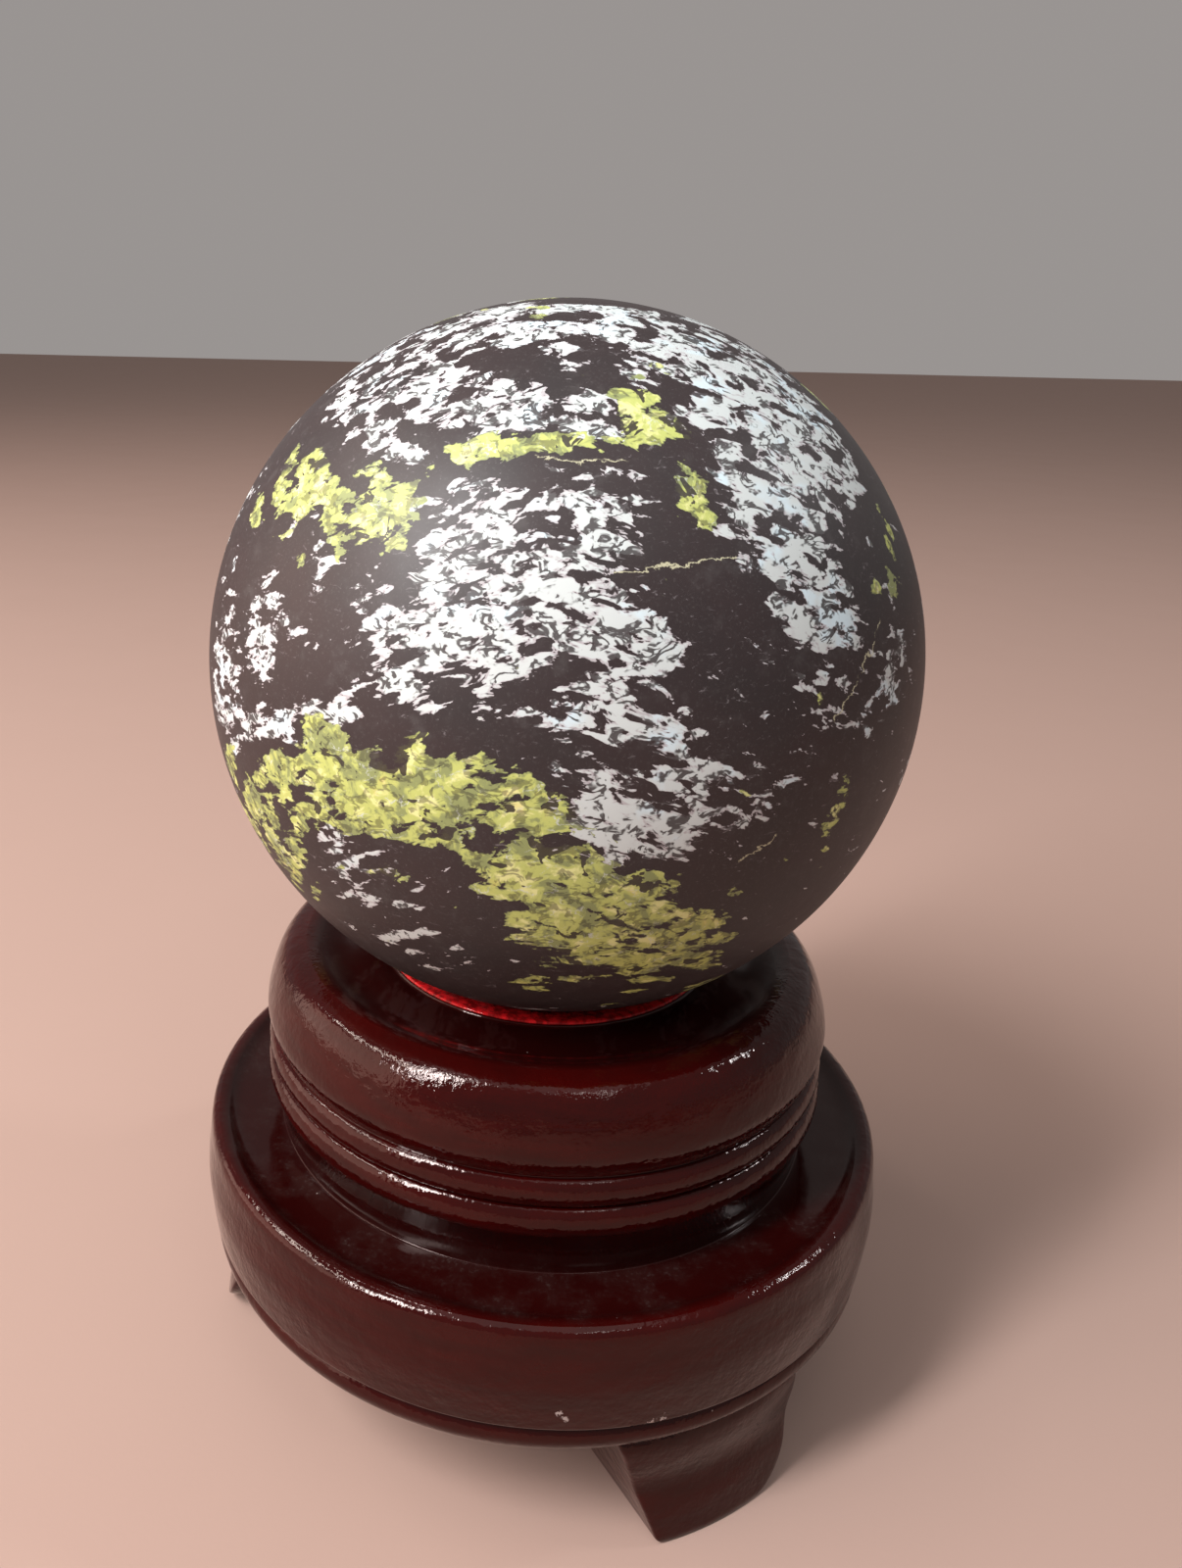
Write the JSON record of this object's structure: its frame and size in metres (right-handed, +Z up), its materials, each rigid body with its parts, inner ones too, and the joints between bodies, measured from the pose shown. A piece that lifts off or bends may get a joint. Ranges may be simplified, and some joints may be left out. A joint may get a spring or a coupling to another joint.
{
  "type": "decorative stone sphere on a turned wooden stand",
  "caption": "Polished mottled stone ball resting on a turned, lacquered wooden stand with a dished cup, a broad rounded base and bracket feet.",
  "frame": {"origin": "on the floor, under the common axis of the sphere and the stand", "axes": "+Z up along the turning axis of the stand; -Y is the front"},
  "size_m": [0.0854, 0.0854, 0.1285],
  "materials": {
    "stone": "polished",
    "lacquered_wood": "gloss lacquer"
  },
  "bodies": {
    "root": {"stone_sphere": "stone", "turned_stand": "lacquered_wood"}
  },
  "joints": []
}
